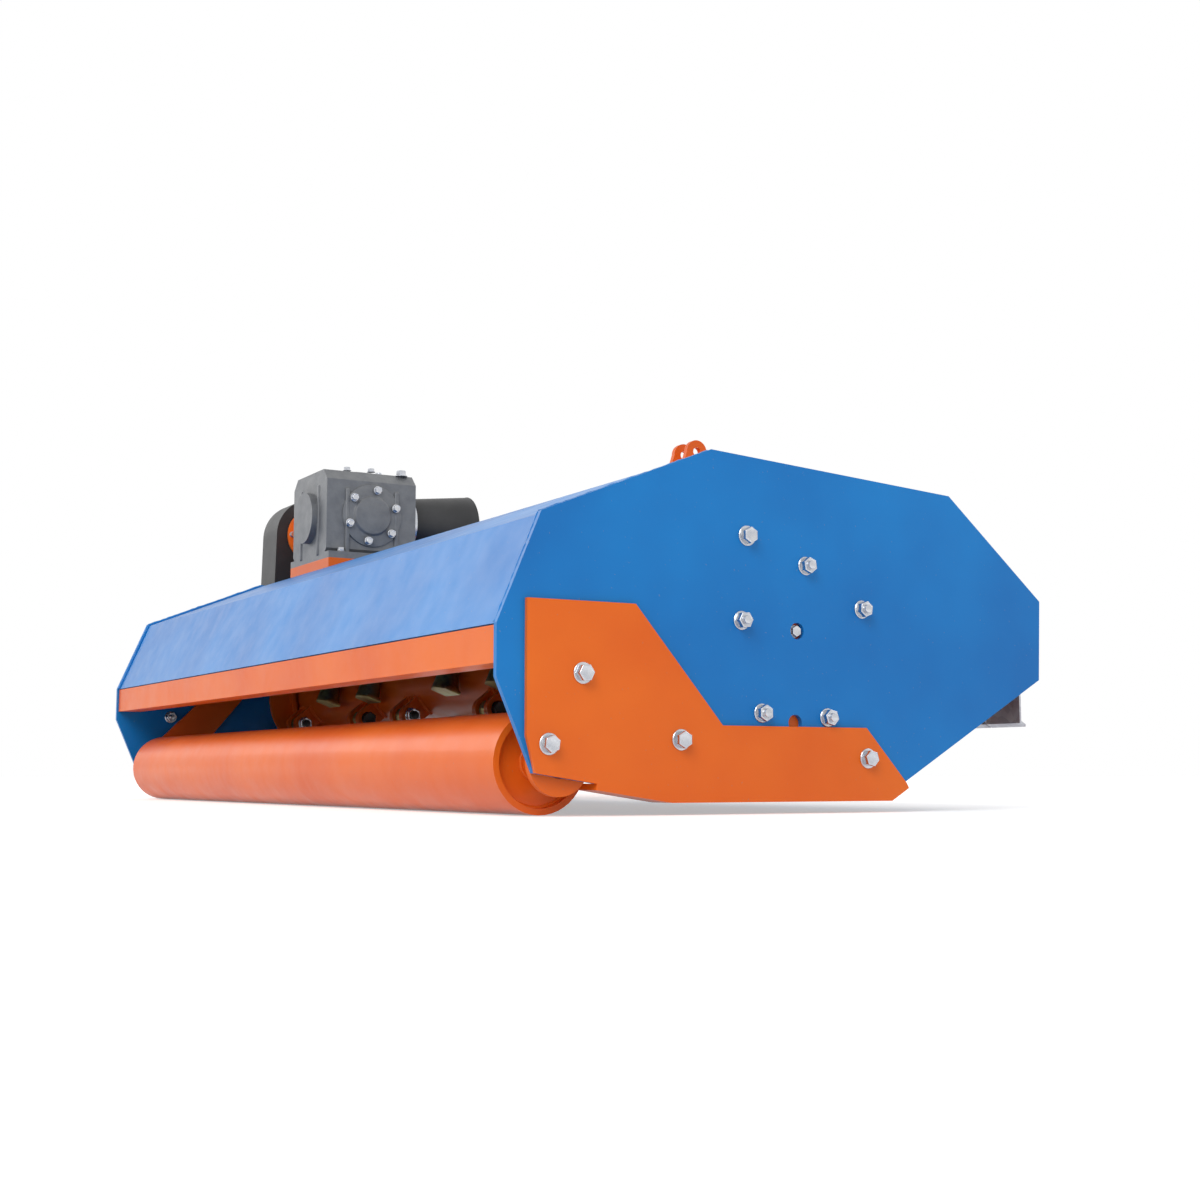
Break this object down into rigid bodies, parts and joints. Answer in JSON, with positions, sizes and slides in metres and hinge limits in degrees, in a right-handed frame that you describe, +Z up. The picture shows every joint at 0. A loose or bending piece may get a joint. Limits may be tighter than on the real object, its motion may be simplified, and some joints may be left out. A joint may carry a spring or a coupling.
{
  "type": "tractor mulcher",
  "caption": "Offset flail mulcher for a tractor: hooded hammer rotor with rear roller, front flaps, side-drive belt case, sliding parallelogram, tilt pivot and arched three-point headstock.",
  "frame": {"origin": "middle of the gearbox's splined input stub, on its axis", "axes": "+X to the right-hand, outer end of the deck, +Y forward along the input stub towards the tractor, +Z up; parked on a level floor at z = -0.592 m"},
  "size_m": [2.914, 1.8993, 1.026],
  "materials": {
    "orange_paint": "gloss enamel",
    "blue_paint": "gloss enamel",
    "galvanised": "hot-dip spangle",
    "hammer_zinc": "yellow passivated zinc on forged steel",
    "bright_steel": "zinc plated or chromed",
    "black_paint": "semi-gloss",
    "zinc_grey": "dull zinc",
    "black_plastic": "moulded",
    "cast_grey": "painted casting",
    "hose_rubber": "smooth cover"
  },
  "bodies": {
    "headstock": {"head_beam": "orange_paint", "head_arch": "orange_paint", "hitch_plates": "orange_paint", "hitch_pins": "bright_steel", "mast": "orange_paint", "leg_sleeve": "orange_paint", "head_pins": "bright_steel"},
    "parking_leg": {"parking_leg": "zinc_grey"},
    "left_arm": {"arm_left": "orange_paint"},
    "right_arm": {"arm_right": "orange_paint", "arm_hoses": "hose_rubber"},
    "carrier": {"carrier": "orange_paint", "tilt_pin": "bright_steel", "carrier_pins": "bright_steel"},
    "shift_barrel": {"shift_barrel": "black_paint"},
    "shift_rod": {"shift_rod": "bright_steel"},
    "tilt_barrel": {"tilt_barrel": "black_paint"},
    "tilt_rod": {"tilt_rod": "bright_steel"},
    "rotor": {"rotor_tube": "orange_paint", "hammers": "hammer_zinc", "hammer_pins": "bright_steel"},
    "roller": {"roller": "orange_paint"},
    "left_flaps": {"flaps_left": "galvanised"},
    "middle_flaps": {"flaps_middle": "galvanised"},
    "right_flaps": {"flaps_right": "galvanised"},
    "deck": {"skid_left": "orange_paint", "skid_right": "orange_paint", "rear_bar": "orange_paint", "bearing_flange_left": "orange_paint", "bearing_flange_right": "orange_paint", "roller_brackets": "orange_paint", "gearbox_rails": "orange_paint", "tilt_bracket": "orange_paint", "tilt_anchor": "orange_paint", "cross_shaft_tube": "orange_paint", "side_plate_left": "blue_paint", "side_plate_right": "blue_paint", "hood": "blue_paint", "front_beam": "blue_paint", "flap_rod": "blue_paint", "input_shaft": "bright_steel", "pto_guard": "black_plastic", "belt_cover": "black_plastic", "gearbox": "cast_grey"}
  },
  "joints": [
    {"name": "arm_swing", "type": "hinge", "parent": "headstock", "child": "left_arm", "pos_m": [-0.3303, 0.95729, -0.24], "axis": [0, 0, 1], "range_deg": [-28.5, 26.5]},
    {"name": "right_arm_swing", "type": "hinge", "parent": "headstock", "child": "right_arm", "pos_m": [-0.07029, 0.95729, -0.24], "axis": [0, 0, 1], "range_deg": [-29, 27]},
    {"name": "carrier_swing", "type": "hinge", "parent": "left_arm", "child": "carrier", "pos_m": [-0.044, 0.43, -0.24], "axis": [0, 0, 1], "range_deg": [-27, 29]},
    {"name": "deck_tilt", "type": "hinge", "parent": "carrier", "child": "deck", "pos_m": [0.086, 0.305, -0.16], "axis": [0, -1, 0], "range_deg": [-45, 90]},
    {"name": "rotor_spin", "type": "hinge", "parent": "deck", "child": "rotor", "pos_m": [0.66, -0.18, -0.37], "axis": [1, 0, 0], "continuous": true},
    {"name": "roller_spin", "type": "hinge", "parent": "deck", "child": "roller", "pos_m": [0.66, -0.55, -0.527], "axis": [1, 0, 0], "continuous": true},
    {"name": "left_flaps_swing", "type": "hinge", "parent": "deck", "child": "left_flaps", "pos_m": [0.66, 0.223, -0.372], "axis": [1, 0, 0], "range_deg": [-50, 60]},
    {"name": "middle_flaps_swing", "type": "hinge", "parent": "deck", "child": "middle_flaps", "pos_m": [0.66, 0.223, -0.372], "axis": [1, 0, 0], "range_deg": [-50, 60]},
    {"name": "right_flaps_swing", "type": "hinge", "parent": "deck", "child": "right_flaps", "pos_m": [0.66, 0.223, -0.372], "axis": [1, 0, 0], "range_deg": [-50, 60]},
    {"name": "leg_slide", "type": "slide", "parent": "headstock", "child": "parking_leg", "axis": [0, 0, 1], "range_m": [0, 0.22]},
    {"name": "shift_barrel_swing", "type": "hinge", "parent": "headstock", "child": "shift_barrel", "pos_m": [-0.2703, 0.95729, -0.128], "axis": [0, 0, 1], "range_deg": [-25.52, 23.77]},
    {"name": "shift_rod_slide", "type": "slide", "parent": "shift_barrel", "child": "shift_rod", "axis": [0.6287, -0.7776, 0], "range_m": [-0.0555, 0.0517]},
    {"name": "tilt_barrel_swing", "type": "hinge", "parent": "deck", "child": "tilt_barrel", "pos_m": [0.67688, 0.316, -0.26419], "axis": [0, -1, 0], "range_deg": [-2.54, 1.56]},
    {"name": "tilt_rod_slide", "type": "slide", "parent": "tilt_barrel", "child": "tilt_rod", "axis": [-0.9421, 0, 0.3354], "range_m": [-0.1519, 0.0769]}
  ],
  "couplings": [
    {"joint": "right_arm_swing", "follows": "arm_swing", "ratio": 1},
    {"joint": "carrier_swing", "follows": "arm_swing", "ratio": -1},
    {"joint": "shift_barrel_swing", "follows": "arm_swing", "ratio": 0.8753},
    {"joint": "shift_rod_slide", "follows": "arm_swing", "m_per_rad": 0.1075},
    {"joint": "tilt_barrel_swing", "follows": "deck_tilt", "ratio": -0.0219},
    {"joint": "tilt_rod_slide", "follows": "deck_tilt", "m_per_rad": -0.0954}
  ]
}
